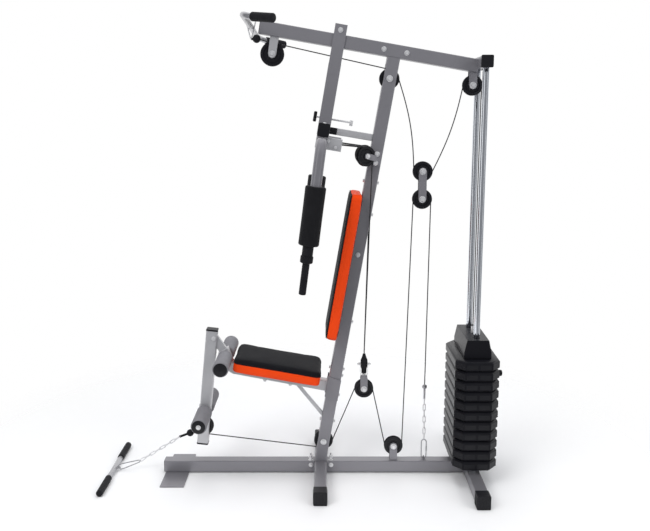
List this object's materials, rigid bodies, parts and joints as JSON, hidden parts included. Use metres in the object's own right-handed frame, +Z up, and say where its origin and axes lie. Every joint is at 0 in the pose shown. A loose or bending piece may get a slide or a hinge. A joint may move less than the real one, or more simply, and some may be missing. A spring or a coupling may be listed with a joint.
{
  "type": "multi gym",
  "caption": "Home multi gym with a weight stack, lat bar, swinging press and butterfly arms, leg lever, low cable bar, padded seat and backrest.",
  "frame": {"origin": "centre of the bounding box at floor height", "axes": "+Z up; +X from the seat to the weight stack; +Y across the machine, to its far side in the picture"},
  "size_m": [1.9592, 0.9462, 2.21],
  "materials": {
    "upholstery": "black artificial leather with an orange side band",
    "board": "dark backing board",
    "foam_rubber": "matt foam sleeve",
    "cap_plastic": "ribbed black plastic",
    "wheel_plastic": "black moulded wheel",
    "chrome_steel": "polished chrome",
    "zinc_steel": "bright zinc plating",
    "coated_cable": "wire rope in a black plastic coat",
    "stack_iron": "satin black paint",
    "bar_black": "black steel bar with rubber grips",
    "hook_black": "black paint",
    "bumper_rubber": "black rubber block",
    "grey_tube": "grey satin powder coat",
    "light_grey_tube": "light grey satin powder coat"
  },
  "bodies": {
    "frame": {"base_beam_front": "light_grey_tube", "base_beam_rear": "grey_tube", "centre_stabiliser": "grey_tube", "rear_stabiliser": "grey_tube", "centre_cap_near": "cap_plastic", "centre_cap_far": "cap_plastic", "rear_cap_near": "cap_plastic", "rear_cap_far": "cap_plastic", "main_upright": "grey_tube", "top_beam": "grey_tube", "guide_rod_near": "chrome_steel", "guide_rod_far": "chrome_steel", "resting_plates": "stack_iron", "seat_frame": "grey_tube", "seat_strut": "grey_tube", "seat_board": "board", "seat_pad": "upholstery", "back_board": "board", "back_pad": "upholstery", "stop_bumper": "bumper_rubber", "stop_arm": "light_grey_tube", "mid_yoke_near": "grey_tube", "mid_yoke_far": "grey_tube", "press_cable_near": "coated_cable", "press_cable_far": "coated_cable", "lat_cable": "coated_cable", "low_cable": "coated_cable", "stack_cable": "coated_cable", "anchor_chain": "zinc_steel"},
    "carriage": {"top_block": "stack_iron", "lifted_plates": "stack_iron"},
    "pin": {"selector_pin": "chrome_steel"},
    "lat_grip": {"lat_bar": "bar_black", "lat_hook": "hook_black"},
    "press": {"press_arm": "grey_tube"},
    "butterfly_near": {"butterfly_arm_near": "grey_tube", "arm_foam_near": "foam_rubber"},
    "butterfly_far": {"butterfly_arm_far": "grey_tube", "arm_foam_far": "foam_rubber"},
    "lock": {"lock_rod": "zinc_steel"},
    "lever": {"leg_lever": "light_grey_tube"},
    "low_grip": {"low_bar": "bar_black", "low_chain": "zinc_steel"},
    "single_float": {"single_yoke": "grey_tube"},
    "double_float": {"double_strap": "grey_tube"},
    "front_wheel": {"front_wheel": "wheel_plastic"},
    "second_wheel": {"second_wheel": "wheel_plastic"},
    "rear_wheel": {"rear_wheel": "wheel_plastic"},
    "foot_wheel": {"foot_wheel": "wheel_plastic"},
    "floor_wheel": {"floor_wheel": "wheel_plastic"},
    "lever_wheel": {"lever_wheel": "wheel_plastic"},
    "single_wheel": {"single_wheel": "wheel_plastic"},
    "double_wheel_upper": {"double_wheel_upper": "wheel_plastic"},
    "double_wheel_lower": {"double_wheel_lower": "wheel_plastic"},
    "mid_wheel_near": {"mid_wheel_near": "wheel_plastic"},
    "mid_wheel_far": {"mid_wheel_far": "wheel_plastic"},
    "knee_roller_near": {"knee_roller_near": "foam_rubber"},
    "knee_roller_far": {"knee_roller_far": "foam_rubber"},
    "ankle_roller_near": {"ankle_roller_near": "foam_rubber"},
    "ankle_roller_far": {"ankle_roller_far": "foam_rubber"}
  },
  "joints": [
    {"name": "stack_lift", "type": "slide", "parent": "frame", "child": "carriage", "axis": [0, 0, 1], "range_m": [0, 0.8], "deforming": ["stack_cable"]},
    {"name": "lat_pull", "type": "slide", "parent": "frame", "child": "lat_grip", "axis": [0, 0, -1], "range_m": [0, 0.8], "deforming": ["lat_cable"]},
    {"name": "pin_pull", "type": "slide", "parent": "carriage", "child": "pin", "axis": [1, 0, 0], "range_m": [0, 0.12]},
    {"name": "press_swing", "type": "hinge", "parent": "frame", "child": "press", "pos_m": [0.1736, 0, 2.15299], "axis": [0, 1, 0], "range_deg": [0, 45]},
    {"name": "butterfly_near_swing", "type": "hinge", "parent": "press", "child": "butterfly_near", "pos_m": [0.09224, -0.145, 1.68196], "axis": [-0.1702, 0, -0.9854], "range_deg": [0, 85], "deforming": ["press_cable_near"]},
    {"name": "butterfly_far_swing", "type": "hinge", "parent": "press", "child": "butterfly_far", "pos_m": [0.09224, 0.145, 1.68196], "axis": [0.1702, 0, 0.9854], "range_deg": [0, 85], "deforming": ["press_cable_far"]},
    {"name": "lock_turn", "type": "hinge", "parent": "press", "child": "lock", "pos_m": [0.10552, 0, 1.75883], "axis": [0.9854, 0, -0.1702], "range_deg": [0, 90]},
    {"name": "leg_lift", "type": "hinge", "parent": "frame", "child": "lever", "pos_m": [-0.4414, 0, 0.7], "axis": [0, 1, 0], "range_deg": [0, 80]},
    {"name": "low_pull", "type": "slide", "parent": "lever", "child": "low_grip", "axis": [-1, 0, 0], "range_m": [0, 0.5], "deforming": ["low_cable"]},
    {"name": "single_lift", "type": "slide", "parent": "frame", "child": "single_float", "axis": [0, 0, 1], "range_m": [0, 0.3]},
    {"name": "double_drop", "type": "slide", "parent": "frame", "child": "double_float", "axis": [0, 0, -1], "range_m": [0, 0.3]},
    {"name": "front_wheel_spin", "type": "hinge", "parent": "frame", "child": "front_wheel", "pos_m": [-0.1401, 0, 2.049], "axis": [0, 1, 0], "continuous": true},
    {"name": "second_wheel_spin", "type": "hinge", "parent": "frame", "child": "second_wheel", "pos_m": [0.40011, 0, 1.93798], "axis": [0, 1, 0], "continuous": true},
    {"name": "rear_wheel_spin", "type": "hinge", "parent": "frame", "child": "rear_wheel", "pos_m": [0.786, 0, 1.90849], "axis": [0, 1, 0], "continuous": true},
    {"name": "foot_wheel_spin", "type": "hinge", "parent": "frame", "child": "foot_wheel", "pos_m": [0.0951, 0, 0.1675], "axis": [0, 1, 0], "continuous": true},
    {"name": "floor_wheel_spin", "type": "hinge", "parent": "frame", "child": "floor_wheel", "pos_m": [0.4466, 0, 0.138], "axis": [0, 1, 0], "continuous": true},
    {"name": "lever_wheel_spin", "type": "hinge", "parent": "lever", "child": "lever_wheel", "pos_m": [-0.50285, 0, 0.24249], "axis": [0, 1, 0], "continuous": true},
    {"name": "single_wheel_spin", "type": "hinge", "parent": "single_float", "child": "single_wheel", "pos_m": [0.2956, 0, 0.4388], "axis": [0, 1, 0], "continuous": true},
    {"name": "double_wheel_upper_spin", "type": "hinge", "parent": "double_float", "child": "double_wheel_upper", "pos_m": [0.5641, 0, 1.512], "axis": [0, 1, 0], "continuous": true},
    {"name": "double_wheel_lower_spin", "type": "hinge", "parent": "double_float", "child": "double_wheel_lower", "pos_m": [0.5641, 0, 1.381], "axis": [0, 1, 0], "continuous": true},
    {"name": "mid_wheel_near_spin", "type": "hinge", "parent": "frame", "child": "mid_wheel_near", "pos_m": [0.29086, -0.0758, 1.58631], "axis": [-0.5, 0.866, 0], "continuous": true},
    {"name": "mid_wheel_far_spin", "type": "hinge", "parent": "frame", "child": "mid_wheel_far", "pos_m": [0.29086, 0.0758, 1.58631], "axis": [0.5, 0.866, 0], "continuous": true},
    {"name": "knee_roller_near_spin", "type": "hinge", "parent": "frame", "child": "knee_roller_near", "pos_m": [-0.3854, 0, 0.607], "axis": [0, 1, 0], "continuous": true},
    {"name": "knee_roller_far_spin", "type": "hinge", "parent": "frame", "child": "knee_roller_far", "pos_m": [-0.3854, 0, 0.607], "axis": [0, 1, 0], "continuous": true},
    {"name": "ankle_roller_near_spin", "type": "hinge", "parent": "lever", "child": "ankle_roller_near", "pos_m": [-0.4944, 0, 0.326], "axis": [0, 1, 0], "continuous": true},
    {"name": "ankle_roller_far_spin", "type": "hinge", "parent": "lever", "child": "ankle_roller_far", "pos_m": [-0.4944, 0, 0.326], "axis": [0, 1, 0], "continuous": true}
  ],
  "couplings": [
    {"joint": "lat_pull", "follows": "stack_lift", "ratio": 1},
    {"joint": "rear_wheel_spin", "follows": "stack_lift", "rad_per_m": -23.866},
    {"joint": "second_wheel_spin", "follows": "stack_lift", "rad_per_m": -23.866},
    {"joint": "front_wheel_spin", "follows": "stack_lift", "rad_per_m": -20.04},
    {"joint": "double_wheel_upper_spin", "follows": "stack_lift", "rad_per_m": 23.866},
    {"joint": "single_lift", "follows": "press_swing", "m_per_rad": 0.38},
    {"joint": "double_drop", "follows": "press_swing", "m_per_rad": 0.38}
  ]
}
